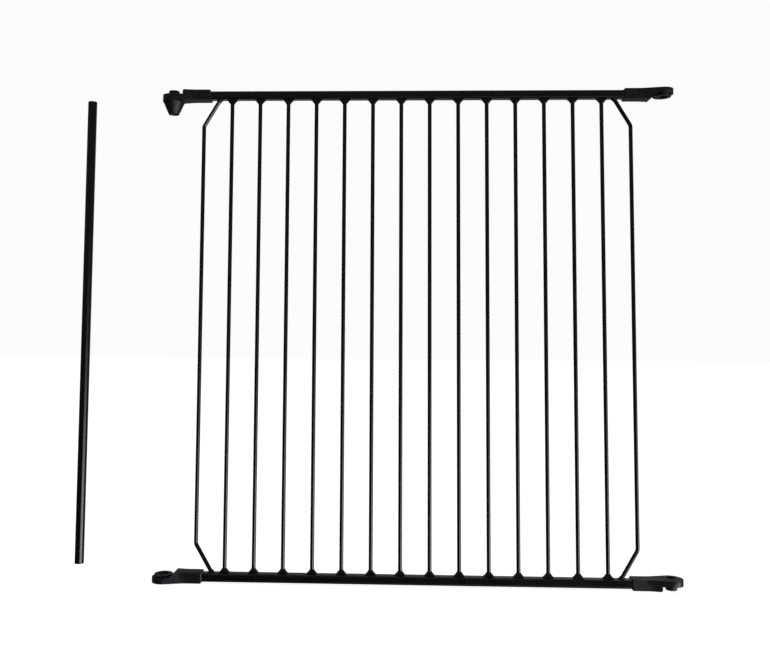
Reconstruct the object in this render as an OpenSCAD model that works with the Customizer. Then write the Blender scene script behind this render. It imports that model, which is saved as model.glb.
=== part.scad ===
/* [Panel] */
// Distance between the left and the right hinge axis
hinge_pitch = 722; // [716:1:760]
// Height between the centre lines of the two rails
rail_spacing = 702; // [500:1:1000]
// Distance between neighbouring upright bars
bar_pitch = 42; // [36:0.5:42]
// Diameter of the upright bars and the end bars
bar_d = 5.8; // [4:0.1:7]

/* [End bars] */
// Distance from the last upright bar to the feet of the end bar
end_foot_gap = 18.5; // [14:0.5:21]
// How far an end bar steps out from its feet to its upright run
end_bar_step = 23.5; // [15:0.5:26]
// Slope of an end bar's legs, measured from the vertical
end_bar_slope = 30.5; // [25:0.5:40]
// Centre line radius of an end bar's knees
knee_r = 10; // [6:1:14]

/* [Rails] */
// Height of the rail tube
rail_h = 12; // [10:0.5:13]
// Depth of the rail tube, front to back
rail_d = 16; // [13:0.5:17]
// Outer corner radius of the rail tube
rail_r = 3; // [1.5:0.5:4]
// Wall thickness of the rail tube
rail_wall = 1.2; // [1:0.1:1.4]

/* [Connectors] */
// Wall of the sleeve around the rail
sleeve_wall = 1.7; // [1.5:0.1:2.5]
// Distance from the hinge axis to the mouth of the sleeve
sleeve_reach = 56.5; // [50:0.5:58]
// Outer radius of the hinge rings
ring_r = 16.5; // [16:0.5:18]
// Distance from the hinge axis to where the sleeve starts to widen towards the ring
taper_start = 30; // [26:1:40]
// Radius of the hinge posts
post_r = 7.9; // [7.5:0.1:8.2]
// Radial play between a post and its bore
post_play = 0.2; // [0.1:0.05:0.3]
// Number of teeth that hold the angle between two panels
tooth_count = 24; // [12:4:36]

/* [Locking cone] */
// Length of the cone below the upper left ring
cone_length = 20.2; // [16:0.1:24]
// Radius of the cone at its lower end
cone_tip_r = 7.6; // [7.5:0.1:9]

/* [Connecting tube] */
// Outer diameter of the tube
tube_d = 13; // [12:0.1:13]
// Wall thickness of the tube
tube_wall = 1; // [0.8:0.1:1.5]
// Length of the tube
tube_length = 678; // [400:1:1000]
// Radial play between the tube and its sockets
tube_play = 0.1; // [0.05:0.05:0.3]
// Distance from the left hinge axis to the loose tube
tube_offset = 123.5; // [60:0.5:300]
// Height of the loose tube's foot above the base plane
tube_raise = 23.5; // [0:0.5:60]

/* [Hidden] */

$fn = 64;

steel_colour = [0.08, 0.08, 0.085];
plastic_colour = [0.13, 0.13, 0.145];

bar_count = 14;
sleeve_h = rail_h + 2 * sleeve_wall;
sleeve_d = rail_d + 2 * sleeve_wall;
rail_inset = 20;
rail_length = hinge_pitch - 2 * rail_inset;
lower_z = sleeve_h / 2;
upper_z = lower_z + rail_spacing;
bar_low = lower_z + rail_h / 2;
bar_high = upper_z - rail_h / 2;
mid_x = hinge_pitch / 2;
mid_z = (lower_z + upper_z) / 2;

foot_offset = (bar_count - 1) / 2 * bar_pitch + end_foot_gap;
run_offset = foot_offset + end_bar_step;
knee_rise = end_bar_step / tan(end_bar_slope);
knee_tangent = knee_r * tan(end_bar_slope / 2);
knee_steps = 6;
rod_sides = 32;

// A weld collar: its side is an arc from its foot up to the bar, centred outside the weld
weld_h = 7;
weld_foot_r = 9.2;
weld_hollow = 0.5;
weld_d = rail_d - 2 * rail_r - 0.4;
weld_width = weld_foot_r - bar_d / 2;
weld_chord = norm([weld_width, weld_h]);
weld_side_r = weld_chord * weld_chord / (8 * weld_hollow) + weld_hollow / 2;
weld_lean = atan(weld_width / weld_h);
weld_centre = [weld_foot_r - weld_width / 2, weld_h / 2]
    + (weld_side_r - weld_hollow) * [cos(weld_lean), sin(weld_lean)];

// The bead at an end bar's foot
foot_weld_r = 1.4;
foot_weld_reach = 5.6;

mouth_chamfer = 1.2;
corner_r = 3;
post_edge_r = 0.8;

// Where the widening sides of a connector run into its ring, just inside its edge
taper_distance = norm([taper_start, sleeve_d / 2]);
taper_angle = atan2(sleeve_d / 2, taper_start) + acos(ring_r / taper_distance);
taper_end_r = ring_r - 0.05;
taper_end = [taper_end_r * cos(taper_angle), taper_end_r * sin(taper_angle)];
taper_round_r = 60;
taper_round_reach = taper_round_r * tan((90 - taper_angle) / 2);

// Post connectors: heights above the rail's centre line, with the post pointing up
post_ring_top = 0.8;
post_top = 7.6;
recess_floor = -3.4;
post_notch = 15.5;

// Bore connectors: heights above the rail's centre line, with the boss pointing down
bore_ring_low = 0;
boss_low = -3.8;
boss_r = 13.2;
ramp_start = 18;
bore_r = post_r + post_play;

recess_r = boss_r + 0.3;
tooth_depth = 1.3;
tooth_width = 1.9;
tooth_play = 0.2;

socket_r = tube_d / 2 + tube_play;
cone_fillet_r = 5;
cone_socket_depth = 22;
dome_rise = 1.2;
dome_r = 15;
dome_flat_r = 8.6;
hole_depth = 6.5;
tube_edge_r = 0.45;
past = 1;

// A rectangle with round corners, centred on the origin
module rounded_rect(width, height, radius) {
    square([width - 2 * radius, height], center = true);
    square([width, height - 2 * radius], center = true);
    for (sx = [-1, 1], sy = [-1, 1])
        translate([sx * (width / 2 - radius), sy * (height / 2 - radius)])
            circle(r = radius);
}

// An outline in X and Z pushed out to both sides of Y = 0
module along_y(depth) {
    rotate([90, 0, 0])
        linear_extrude(depth, center = true)
            children();
}

// An outline in Y and Z pushed out along X
module along_x(from, to) {
    translate([from, 0, 0])
        rotate([90, 0, 90])
            linear_extrude(to - from)
                children();
}

// The same shape at both ends of the panel
module mirrored_in_x() {
    translate([hinge_pitch, 0, 0])
        mirror([1, 0, 0])
            children();
}

// Half of a round solid's section: a flat disc with a rounded outer edge on top
module disc_section(radius, low, high, edge) {
    translate([0, low])
        square([radius, high - low - edge]);
    translate([0, high - edge - past])
        square([radius - edge, edge + past]);
    translate([radius - edge, high - edge])
        circle(r = edge);
}

module rail(height) {
    color(steel_colour)
        translate([0, 0, height])
            difference() {
                along_x(rail_inset, rail_inset + rail_length)
                    rounded_rect(rail_d, rail_h, rail_r);
                along_x(rail_inset - past, rail_inset + rail_length + past)
                    rounded_rect(rail_d - 2 * rail_wall, rail_h - 2 * rail_wall, rail_r - rail_wall);
            }
}

module top_rail() {
    rail(upper_z);
}

module bottom_rail() {
    rail(lower_z);
}

function bar_x(index) = mid_x + (index - (bar_count + 1) / 2) * bar_pitch;

module bar(index) {
    color(steel_colour)
        translate([bar_x(index), 0, bar_low])
            cylinder(d = bar_d, h = bar_high - bar_low);
}

// The rings of an end bar from its lower foot to its upper foot: [x, z, tilt, stretch]
function end_bar_rings() =
    let (
        run_x = mid_x - run_offset,
        low_z = bar_low + knee_rise + knee_tangent,
        high_z = bar_high - knee_rise - knee_tangent,
        turns = [for (step = [0 : knee_steps]) end_bar_slope * step / knee_steps],
        falling = [for (step = [knee_steps : -1 : 0]) turns[step]]
    )
    concat(
        [[mid_x - foot_offset, bar_low, 0, 1 / cos(end_bar_slope)]],
        [for (turn = falling) knee_ring(run_x, low_z, turn)],
        [for (turn = turns) knee_ring(run_x, high_z, -turn)],
        [[mid_x - foot_offset, bar_high, 0, 1 / cos(end_bar_slope)]]
    );

// One ring of a knee that starts at height z and has turned by an angle
function knee_ring(run_x, z, turn) =
    [run_x + knee_r * (1 - cos(turn)), z - knee_r * sin(turn), turn, 1];

// A round rod in the plane Y = 0, swept through its rings
module rod(rings, sides) {
    points = [
        for (ring = rings, side = [0 : sides - 1])
            let (
                across = bar_d / 2 * cos(side * 360 / sides) * ring[3],
                along = bar_d / 2 * sin(side * 360 / sides)
            )
            [ring[0] + across * cos(ring[2]), along, ring[1] + across * sin(ring[2])]
    ];
    last = (len(rings) - 1) * sides;
    walls = [
        for (row = [0 : len(rings) - 2], side = [0 : sides - 1])
            let (next = (side + 1) % sides, here = row * sides, above = here + sides)
            [here + side, above + side, above + next, here + next]
    ];
    foot = [for (side = [0 : sides - 1]) side];
    head = [for (side = [sides - 1 : -1 : 0]) last + side];
    polyhedron(points, concat([foot], walls, [head]));
}

module end_bar() {
    color(steel_colour)
        rod(end_bar_rings(), rod_sides);
}

module left_end_bar() {
    end_bar();
}

module right_end_bar() {
    mirrored_in_x()
        end_bar();
}

// A hollow-sided collar of weld around a bar, cut flat at front and back where the rail turns round
module weld_collar() {
    intersection() {
        rotate_extrude()
            difference() {
                polygon([
                    [bar_d / 2, 0],
                    [weld_foot_r, 0],
                    [bar_d / 2, weld_h]
                ]);
                translate(weld_centre)
                    circle(r = weld_side_r, $fn = 180);
            }
        translate([-weld_foot_r, -weld_d / 2, 0])
            cube([2 * weld_foot_r, weld_d, weld_h]);
    }
}

// A small bead around the sloping foot of an end bar
module foot_bead() {
    slant = foot_weld_r * 3;
    intersection() {
        rotate([0, -end_bar_slope, 0])
            translate([0, 0, -slant])
                difference() {
                    cylinder(r1 = bar_d / 2 + slant / 2, r2 = bar_d / 2 + 0.2, h = 2 * slant);
                    translate([0, 0, -past])
                        cylinder(d = bar_d, h = 2 * slant + 2 * past);
                }
        translate([-foot_weld_reach, -foot_weld_reach, 0])
            cube([2 * foot_weld_reach, 2 * foot_weld_reach, slant]);
    }
}

// All welds along the upper face of the lower rail
module weld_row() {
    for (index = [1 : bar_count])
        translate([bar_x(index), 0, bar_low])
            weld_collar();
    translate([mid_x - foot_offset, 0, bar_low])
        foot_bead();
    mirrored_in_x()
        translate([mid_x - foot_offset, 0, bar_low])
            foot_bead();
}

module bottom_weld_collars() {
    color(steel_colour)
        weld_row();
}

module top_weld_collars() {
    color(steel_colour)
        translate([0, 0, 2 * mid_z])
            mirror([0, 0, 1])
                weld_row();
}

// The sleeve seen from the front: a block with a chamfered mouth at the rail's side
module sleeve_front(near) {
    half = sleeve_h / 2;
    polygon([
        [near, -half],
        [sleeve_reach - mouth_chamfer, -half],
        [sleeve_reach, -half + mouth_chamfer],
        [sleeve_reach, half - mouth_chamfer],
        [sleeve_reach - mouth_chamfer, half],
        [near, half]
    ]);
}

// A connector seen from above: a round ring with sides that run in a wide curve into the sleeve
module connector_plan() {
    half = sleeve_d / 2;
    round_end = taper_start + taper_round_reach;
    round_start = taper_round_reach / norm([taper_start, half] - taper_end);
    side = [
        taper_end,
        [taper_start, half] + round_start * (taper_end - [taper_start, half]),
        [round_end, half],
        [sleeve_reach - mouth_chamfer, half],
        [sleeve_reach, half - mouth_chamfer]
    ];
    circle(r = ring_r);
    difference() {
        polygon(concat(side, [for (index = [len(side) - 1 : -1 : 0]) [side[index].x, -side[index].y]]));
        for (way = [-1, 1])
            translate([round_end, way * (half + taper_round_r)])
                circle(r = taper_round_r, $fn = 360);
    }
}

// The solid that has the connector's plan and the front outline that is given
module connector_solid() {
    intersection() {
        along_y(2 * ring_r + past)
            children();
        linear_extrude(sleeve_h, center = true)
            connector_plan();
    }
}

module rail_pocket() {
    along_x(rail_inset, sleeve_reach + past)
        rounded_rect(rail_d, rail_h, rail_r);
}

// The teeth of a ring: wedges around a circle, pointing inward
module wedges(radius, depth, width) {
    for (index = [0 : tooth_count - 1])
        rotate(index * 360 / tooth_count)
            polygon([
                [radius - depth, 0],
                [radius + past, -width / 2 - past * width / depth / 2],
                [radius + past, width / 2 + past * width / depth / 2]
            ]);
}

// Front outline of the post connector: low around the post
module post_front() {
    half = sleeve_h / 2;
    difference() {
        sleeve_front(-ring_r);
        translate([-ring_r - past, post_ring_top])
            square([ring_r + post_notch + past, half]);
        translate([post_notch, half - corner_r])
            difference() {
                square(corner_r + past);
                translate([corner_r, 0])
                    circle(r = corner_r);
                translate([corner_r, -past])
                    square([2 * past, corner_r + 3 * past]);
            }
    }
}

// The toothed recess around a post
module toothed_recess() {
    translate([0, 0, recess_floor])
        linear_extrude(post_ring_top - recess_floor + past)
            difference() {
                circle(r = recess_r);
                wedges(recess_r, tooth_depth - tooth_play, tooth_width - 2 * tooth_play);
            }
}

// A connector with its hinge post pointing up, its ring on the Z axis and its sleeve along +X
module post_connector() {
    difference() {
        connector_solid()
            post_front();
        toothed_recess();
        rail_pocket();
    }
    rotate_extrude()
        disc_section(post_r, recess_floor - past, post_top, post_edge_r);
}

// Concave fillet that carries the cone's upper end into the underside around it
module cone_fillet() {
    low = -sleeve_h / 2;
    lean = atan((ring_r - cone_tip_r) / cone_length);
    reach = cone_fillet_r * tan(45 - lean / 2);
    touch = [ring_r - reach * sin(lean), low - reach * cos(lean)];
    intersection() {
        rotate_extrude()
            difference() {
                polygon([
                    [ring_r / 2, low + past],
                    [ring_r + reach, low + past],
                    [ring_r + reach, low],
                    touch,
                    [ring_r / 2, touch.y]
                ]);
                translate([ring_r + reach, low - cone_fillet_r])
                    circle(r = cone_fillet_r);
            }
        translate([0, 0, low - cone_length])
            linear_extrude(cone_length + sleeve_h / 2)
                connector_plan();
    }
}

module upper_left_connector() {
    low = -sleeve_h / 2;
    tip = low - cone_length;
    color(plastic_colour)
        translate([0, 0, upper_z])
            difference() {
                union() {
                    post_connector();
                    translate([0, 0, tip])
                        cylinder(r1 = cone_tip_r, r2 = ring_r, h = cone_length);
                    cone_fillet();
                }
                translate([0, 0, tip - past])
                    cylinder(r = socket_r, h = cone_socket_depth + past);
                rail_pocket();
            }
}

// The same moulding without the cone, turned over: its post points down
module lower_right_connector() {
    top = sleeve_h / 2;
    color(plastic_colour)
        translate([hinge_pitch, 0, lower_z])
            rotate([0, 180, 0])
                difference() {
                    union() {
                        post_connector();
                        translate([0, 0, -top - dome_rise])
                            cylinder(r1 = dome_flat_r, r2 = dome_r, h = dome_rise);
                    }
                    translate([0, 0, -top - dome_rise - past])
                        cylinder(r = socket_r, h = hole_depth + past);
                }
}

// Front outline of the bore connector: its underside ramps up from the sleeve to the ring
module bore_front() {
    half = sleeve_h / 2;
    difference() {
        sleeve_front(-ring_r);
        polygon([
            [-ring_r - past, -half - past],
            [ramp_start + past, -half - past],
            [ramp_start + past, -half],
            [ramp_start, -half],
            [ramp_start - half - bore_ring_low, bore_ring_low],
            [-ring_r - past, bore_ring_low]
        ]);
    }
}

// A connector with a toothed boss and a bore that opens down, its sleeve along +X
module bore_connector() {
    difference() {
        union() {
            connector_solid()
                bore_front();
            translate([0, 0, boss_low])
                linear_extrude(bore_ring_low - boss_low + past)
                    difference() {
                        circle(r = boss_r);
                        wedges(boss_r, tooth_depth, tooth_width);
                    }
        }
        translate([0, 0, boss_low - past])
            cylinder(r = bore_r, h = sleeve_h / 2 - boss_low + 2 * past);
        rail_pocket();
    }
}

module upper_right_connector() {
    color(plastic_colour)
        translate([hinge_pitch, 0, upper_z])
            rotate([0, 0, 180])
                bore_connector();
}

// The same moulding turned over: its boss points up
module lower_left_connector() {
    color(plastic_colour)
        translate([0, 0, lower_z])
            rotate([180, 0, 0])
                bore_connector();
}

module connecting_tube() {
    outer = tube_d / 2;
    inner = outer - tube_wall;
    rim = inner + tube_wall / 2;
    color(steel_colour)
        translate([-tube_offset, 0, tube_raise])
            rotate_extrude() {
                translate([inner, tube_edge_r])
                    square([tube_wall, tube_length - 2 * tube_edge_r]);
                for (end = [tube_edge_r, tube_length - tube_edge_r])
                    translate([rim, end])
                        circle(r = tube_edge_r);
            }
}

top_rail();
bottom_rail();
bar(1);  // bar_01
bar(2);  // bar_02
bar(3);  // bar_03
bar(4);  // bar_04
bar(5);  // bar_05
bar(6);  // bar_06
bar(7);  // bar_07
bar(8);  // bar_08
bar(9);  // bar_09
bar(10);  // bar_10
bar(11);  // bar_11
bar(12);  // bar_12
bar(13);  // bar_13
bar(14);  // bar_14
left_end_bar();
right_end_bar();
top_weld_collars();
bottom_weld_collars();
upper_left_connector();
upper_right_connector();
lower_left_connector();
lower_right_connector();
connecting_tube();
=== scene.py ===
"""A pet gate panel with its loose connecting tube, in satin black steel and charcoal moulded plastic."""
import math

import bpy
from mathutils import Matrix, Vector


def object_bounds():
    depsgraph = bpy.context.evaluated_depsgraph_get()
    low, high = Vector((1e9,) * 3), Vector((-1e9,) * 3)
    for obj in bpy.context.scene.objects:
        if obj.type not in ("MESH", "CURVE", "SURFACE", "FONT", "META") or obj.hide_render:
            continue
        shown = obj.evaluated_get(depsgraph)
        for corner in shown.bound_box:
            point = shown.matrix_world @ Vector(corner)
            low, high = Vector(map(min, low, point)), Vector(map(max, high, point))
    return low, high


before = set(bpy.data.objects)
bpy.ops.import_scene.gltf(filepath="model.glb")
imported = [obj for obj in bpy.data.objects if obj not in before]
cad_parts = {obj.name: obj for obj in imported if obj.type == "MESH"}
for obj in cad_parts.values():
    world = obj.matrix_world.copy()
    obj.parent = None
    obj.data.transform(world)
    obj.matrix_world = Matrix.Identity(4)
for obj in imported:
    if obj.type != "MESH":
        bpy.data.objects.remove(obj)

MM = 0.001
CAD_BOX = [list(corner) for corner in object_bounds()]
FLOOR_LEVEL = CAD_BOX[0][2]
STEEL_NODES = [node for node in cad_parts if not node.endswith("_connector")]
PLASTIC_NODES = [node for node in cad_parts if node.endswith("_connector")]

# Camera: its place in metres, its turns in degrees, its lens in millimetres
EYE = Vector((0.3265, -1.266, 0.3646))
YAW, PITCH, ROLL = 2.06, 4.23, 0.36
LENS = 40.5
SHIFT_X, SHIFT_Y = 0.0317, -0.0860

# Brightness of the surroundings, as the object's surfaces see them
SWEEP_LEVEL = 0.20
SIDE_GLOW = 9.0
WALL_LEFT, WALL_RIGHT = 0.0, 0.22
ROOM_LOW, ROOM_HIGH = 0.03, 0.17
FRONT_GLOW = 1.1

# Compass directions of the two glows, in degrees from the viewer's side towards the right
SIDE_ANGLE = 57
FRONT_ANGLE = 25

# Brightness of the plain background and floor, as the camera sees them
BACKGROUND_LEVEL = 0.97
FLOOR_GLOW = 0.91

WHITE = (1, 1, 1, 1)
FLOOR_REACH = 9.0
OVERHEAD_PLACE, OVERHEAD_TARGET = (0.4, 0.5, 2.6), (0.4, 0.1, 0)
OVERHEAD_WIDTH, OVERHEAD_DEPTH = 2.6, 2.0
OVERHEAD_POWER = 5

# Broken edges of the moulded connectors
MERGE_DISTANCE = 0.002 * MM
EDGE_ROUND = 0.4 * MM
EDGE_ANGLE = 30


def make_camera():
    data = bpy.data.cameras.new("camera")
    data.lens = LENS
    data.sensor_width = 36
    data.shift_x = SHIFT_X
    data.shift_y = SHIFT_Y
    data.clip_start = 0.05
    data.clip_end = 60
    camera = bpy.data.objects.new("camera", data)
    turn = (
        Matrix.Rotation(math.radians(YAW), 4, "Z")
        @ Matrix.Rotation(math.radians(90 + PITCH), 4, "X")
        @ Matrix.Rotation(math.radians(ROLL), 4, "Z")
    )
    camera.matrix_world = Matrix.Translation(EYE) @ turn
    bpy.context.scene.collection.objects.link(camera)
    bpy.context.scene.camera = camera


class Tree:
    """Adds and links shader nodes in one node tree."""

    def __init__(self, tree):
        self.tree = tree
        tree.nodes.clear()

    def add(self, kind, settings=None, **inputs):
        """Adds a node. An input is a number, a colour or another node's output socket."""
        node = self.tree.nodes.new(kind)
        for name, value in (settings or {}).items():
            setattr(node, name, value)
        for name, value in inputs.items():
            self.put(node, name.replace("_", " "), value)
        return node

    def put(self, node, name, value):
        socket = node.inputs[int(name)] if name.isdigit() else node.inputs[name]
        if isinstance(value, bpy.types.NodeSocket):
            self.tree.links.new(value, socket)
        else:
            socket.default_value = value

    def maths(self, operation, first, second=0.0):
        node = self.add("ShaderNodeMath", {"operation": operation})
        self.put(node, "0", first)
        self.put(node, "1", second)
        return node.outputs[0]

    def scaled(self, value, low, high, from_low=0.0, from_high=1.0):
        """A value carried from one range to another and held inside it."""
        node = self.add("ShaderNodeMapRange", Value=value)
        self.put(node, "From Min", from_low)
        self.put(node, "From Max", from_high)
        self.put(node, "To Min", low)
        self.put(node, "To Max", high)
        return node.outputs[0]

    def noise(self, where, size, detail=2.0, rough=0.5):
        """Noise whose features are about this many metres across."""
        node = self.add("ShaderNodeTexNoise", Vector=where, Scale=1 / size, Detail=detail, Roughness=rough)
        return node.outputs["Fac"]

    def blend(self, factor, first, second):
        node = self.add("ShaderNodeMix", {"data_type": "RGBA"})
        self.tree.links.new(factor, node.inputs["Factor"])
        for name, value in (("A", first), ("B", second)):
            socket = [entry for entry in node.inputs if entry.name == name and entry.type == "RGBA"][0]
            if isinstance(value, bpy.types.NodeSocket):
                self.tree.links.new(value, socket)
            else:
                socket.default_value = value
        return [entry for entry in node.outputs if entry.type == "RGBA"][0]


def grey(level, tint=0.0):
    """A near-neutral colour with a little more blue."""
    return (level, level, level + tint, 1)


def edge_mask(tree, radius):
    """1 on edges sharper than this radius and 0 on flat stretches."""
    bevel = tree.add("ShaderNodeBevel", {"samples": 8}, Radius=radius)
    normal = tree.add("ShaderNodeNewGeometry").outputs["Normal"]
    dot = tree.add("ShaderNodeVectorMath", {"operation": "DOT_PRODUCT"})
    tree.put(dot, "0", bevel.outputs[0])
    tree.put(dot, "1", normal)
    return tree.scaled(dot.outputs["Value"], 1.0, 0.0, 0.9, 0.995)


def coated_steel():
    """Satin black powder coat: orange peel, uneven gloss, sharp edges painted lighter for a thin coat there
    and for a painted edge sheen, and a trace of dust.
    """
    material = bpy.data.materials.new("coated_steel")
    material.use_nodes = True
    tree = Tree(material.node_tree)
    where = tree.add("ShaderNodeTexCoord").outputs["Object"]
    peel = tree.noise(where, 1.6 * MM, 2.0, 0.45)
    grain = tree.noise(where, 0.35 * MM, 1.0)
    patches = tree.noise(where, 45 * MM, 4.0, 0.6)
    specks = tree.noise(where, 0.9 * MM, 0.0)
    # Lighter colour on sharp edges: partly the coat worn thin there, partly a painted edge sheen.
    worn = edge_mask(tree, 0.7 * MM)
    worn = tree.maths("MULTIPLY", worn, tree.scaled(patches, 0.0, 1.0, 0.4, 0.65))
    dust = tree.maths("MULTIPLY", tree.scaled(specks, 0.0, 1.0, 0.74, 0.80), 0.2)
    patchy = tree.scaled(patches, 0.0, 1.0, 0.3, 0.7)
    colour = tree.blend(patchy, grey(0.0060, 0.0004), grey(0.0095, 0.0006))
    colour = tree.blend(dust, colour, grey(0.045, -0.003))
    colour = tree.blend(worn, colour, grey(0.022, 0.001))
    gloss = tree.scaled(patches, 0.19, 0.26, 0.3, 0.7)
    gloss = tree.maths("ADD", gloss, tree.scaled(peel, -0.02, 0.04, 0.3, 0.7))
    height = tree.maths("ADD", peel, tree.maths("MULTIPLY", grain, 0.18))
    bump = tree.add("ShaderNodeBump", Strength=0.4, Distance=0.02 * MM, Height=height)
    shader = tree.add("ShaderNodeBsdfPrincipled", Roughness=gloss, Normal=bump.outputs[0])
    tree.put(shader, "Base Color", colour)
    tree.put(shader, "IOR", 1.5)
    tree.put(shader, "Specular IOR Level", 0.42)
    tree.tree.links.new(shader.outputs[0], tree.add("ShaderNodeOutputMaterial").inputs[0])
    return material


def moulded_plastic():
    """Charcoal nylon with a fine spark grain, faint flow marks and edges rubbed smoother."""
    material = bpy.data.materials.new("moulded_plastic")
    material.use_nodes = True
    tree = Tree(material.node_tree)
    where = tree.add("ShaderNodeTexCoord").outputs["Object"]
    grain = tree.noise(where, 0.42 * MM, 3.0, 0.6)
    cells = tree.add("ShaderNodeTexVoronoi", {"feature": "SMOOTH_F1"}, Vector=where, Scale=1 / (0.5 * MM))
    pits = cells.outputs[0]
    stretched = tree.add("ShaderNodeMapping", Vector=where, Scale=(0.25, 1, 1))
    flow = tree.noise(stretched.outputs[0], 9 * MM, 4.0, 0.6)
    worn = edge_mask(tree, 0.9 * MM)
    streaks = tree.scaled(flow, 0.0, 1.0, 0.3, 0.7)
    colour = tree.blend(streaks, grey(0.0110, 0.0085), grey(0.0160, 0.0110))
    colour = tree.blend(tree.maths("MULTIPLY", worn, 0.45), colour, grey(0.032, 0.010))
    gloss = tree.scaled(flow, 0.46, 0.56, 0.3, 0.7)
    gloss = tree.maths("SUBTRACT", gloss, tree.maths("MULTIPLY", worn, 0.10))
    height = tree.maths("ADD", grain, tree.maths("MULTIPLY", pits, 0.5))
    bump = tree.add("ShaderNodeBump", Strength=0.55, Distance=0.05 * MM, Height=height)
    shader = tree.add("ShaderNodeBsdfPrincipled", Roughness=gloss, Normal=bump.outputs[0])
    tree.put(shader, "Base Color", colour)
    tree.put(shader, "IOR", 1.5)
    tree.tree.links.new(shader.outputs[0], tree.add("ShaderNodeOutputMaterial").inputs[0])
    return material


def soften(piece, radius, angle):
    """Breaks the piece's sharp edges with a small round, without touching its mesh."""
    weld = piece.modifiers.new("weld", "WELD")
    weld.merge_threshold = MERGE_DISTANCE
    bevel = piece.modifiers.new("broken_edges", "BEVEL")
    bevel.width = radius
    bevel.segments = 3
    bevel.limit_method = "ANGLE"
    bevel.angle_limit = math.radians(angle)
    bevel.harden_normals = True
    bevel.miter_outer = "MITER_ARC"


def dress(nodes, material):
    for node in nodes:
        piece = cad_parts[node]
        piece.data.materials.clear()
        piece.data.materials.append(material)


def make_floor():
    """A plain pale floor that glows, so that it stays even, and that the object doesn't reflect."""
    data = bpy.data.meshes.new("floor")
    reach, z = FLOOR_REACH, FLOOR_LEVEL
    corners = [(-reach, -reach, z), (reach, -reach, z), (reach, reach, z), (-reach, reach, z)]
    data.from_pydata(corners, [], [(0, 1, 2, 3)])
    floor = bpy.data.objects.new("floor", data)
    bpy.context.scene.collection.objects.link(floor)
    floor.visible_glossy = False
    floor.visible_diffuse = False
    material = bpy.data.materials.new("pale_floor")
    material.use_nodes = True
    tree = Tree(material.node_tree)
    shader = tree.add("ShaderNodeBsdfPrincipled", Roughness=0.8)
    tree.put(shader, "Base Color", grey(0.8))
    tree.put(shader, "Emission Color", grey(1.0))
    tree.put(shader, "Emission Strength", FLOOR_GLOW)
    tree.tree.links.new(shader.outputs[0], tree.add("ShaderNodeOutputMaterial").inputs[0])
    data.materials.append(material)


def towards(tree, level, angle, soft_from, soft_to):
    """1 around a compass direction, which turns from the viewer's side to the right, and 0 away from it."""
    x, y = level
    squares = tree.maths("ADD", tree.maths("MULTIPLY", x, x), tree.maths("MULTIPLY", y, y))
    length = tree.maths("SQRT", squares)
    along = tree.maths("MULTIPLY", x, math.sin(math.radians(angle)))
    along = tree.maths("SUBTRACT", along, tree.maths("MULTIPLY", y, math.cos(math.radians(angle))))
    return tree.scaled(tree.maths("DIVIDE", along, length), 0.0, 1.0, soft_from, soft_to)


def band(tree, z, top, top_soft, foot_soft, foot):
    """1 in a band of upward slopes of the view direction, fading to 0 above its top and below its foot."""
    under_top = tree.scaled(z, 1.0, 0.0, top_soft, top)
    over_foot = tree.scaled(z, 0.0, 1.0, foot, foot_soft)
    return tree.maths("MULTIPLY", under_top, over_foot)


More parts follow.
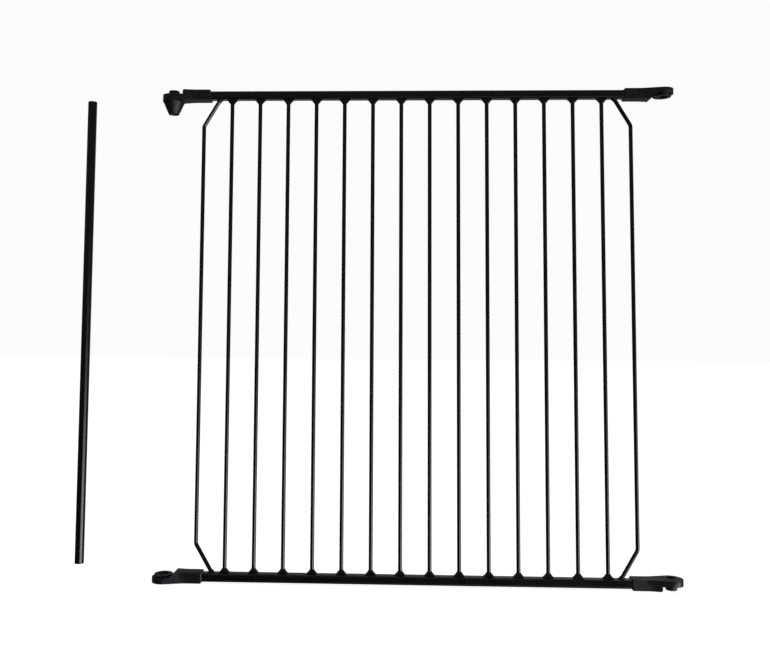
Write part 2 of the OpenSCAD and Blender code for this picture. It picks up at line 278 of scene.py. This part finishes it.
def make_world():
    """A dim studio: a low sweep behind, a wall behind on the right, two low glows in front on the right."""
    world = bpy.data.worlds.new("studio")
    bpy.context.scene.world = world
    world.use_nodes = True
    tree = Tree(world.node_tree)
    where = tree.add("ShaderNodeTexCoord").outputs["Generated"]
    axes = tree.add("ShaderNodeSeparateXYZ", Vector=where)
    x, y, z = (axes.outputs[name] for name in "XYZ")
    below = tree.scaled(z, 1.0, 0.0, -0.10, 0.08)
    above = tree.maths("SUBTRACT", 1.0, below)
    behind = tree.scaled(y, 0.0, 1.0, 0.30, 0.80)
    side = towards(tree, (x, y), SIDE_ANGLE, 0.84, 0.94)
    side = tree.maths("MULTIPLY", side, band(tree, z, -0.05, -0.24, -0.30, -0.70))
    front = towards(tree, (x, y), FRONT_ANGLE, 0.80, 0.96)
    front = tree.maths("MULTIPLY", front, band(tree, z, -0.34, -0.50, -0.65, -0.85))
    sweep = tree.maths("MULTIPLY", tree.maths("MULTIPLY", below, behind), SWEEP_LEVEL)
    glow = tree.maths("MULTIPLY", side, SIDE_GLOW)
    room = tree.scaled(z, ROOM_LOW, ROOM_HIGH, -0.15, 0.15)
    room = tree.maths("ADD", room, tree.maths("MULTIPLY", front, FRONT_GLOW))
    rightward = tree.scaled(x, WALL_LEFT, WALL_RIGHT, -0.10, 0.35)
    wall = tree.maths("MULTIPLY", rightward, tree.maths("MULTIPLY", above, behind))
    level = tree.maths("ADD", tree.maths("ADD", sweep, glow), tree.maths("ADD", wall, room))
    sky = tree.add("ShaderNodeBackground", Color=WHITE, Strength=level)
    seen = tree.add("ShaderNodeBackground", Color=WHITE, Strength=BACKGROUND_LEVEL)
    path = tree.add("ShaderNodeLightPath")
    mix = tree.add("ShaderNodeMixShader", Fac=path.outputs["Is Camera Ray"])
    tree.tree.links.new(sky.outputs[0], mix.inputs[1])
    tree.tree.links.new(seen.outputs[0], mix.inputs[2])
    tree.tree.links.new(mix.outputs[0], tree.add("ShaderNodeOutputWorld").inputs[0])


def make_overhead_light():
    data = bpy.data.lights.new("overhead", "AREA")
    data.shape = "RECTANGLE"
    data.size = OVERHEAD_WIDTH
    data.size_y = OVERHEAD_DEPTH
    data.energy = OVERHEAD_POWER
    light = bpy.data.objects.new("overhead", data)
    light.location = OVERHEAD_PLACE
    light.rotation_mode = "QUATERNION"
    towards_target = Vector(OVERHEAD_TARGET) - Vector(OVERHEAD_PLACE)
    light.rotation_quaternion = towards_target.to_track_quat("-Z", "Y")
    bpy.context.scene.collection.objects.link(light)


make_camera()
steel = coated_steel()
plastic = moulded_plastic()
dress(STEEL_NODES, steel)
dress(PLASTIC_NODES, plastic)
for name in PLASTIC_NODES:
    soften(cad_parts[name], EDGE_ROUND, EDGE_ANGLE)
make_floor()
make_world()
make_overhead_light()
bpy.context.scene.view_settings.view_transform = "Standard"
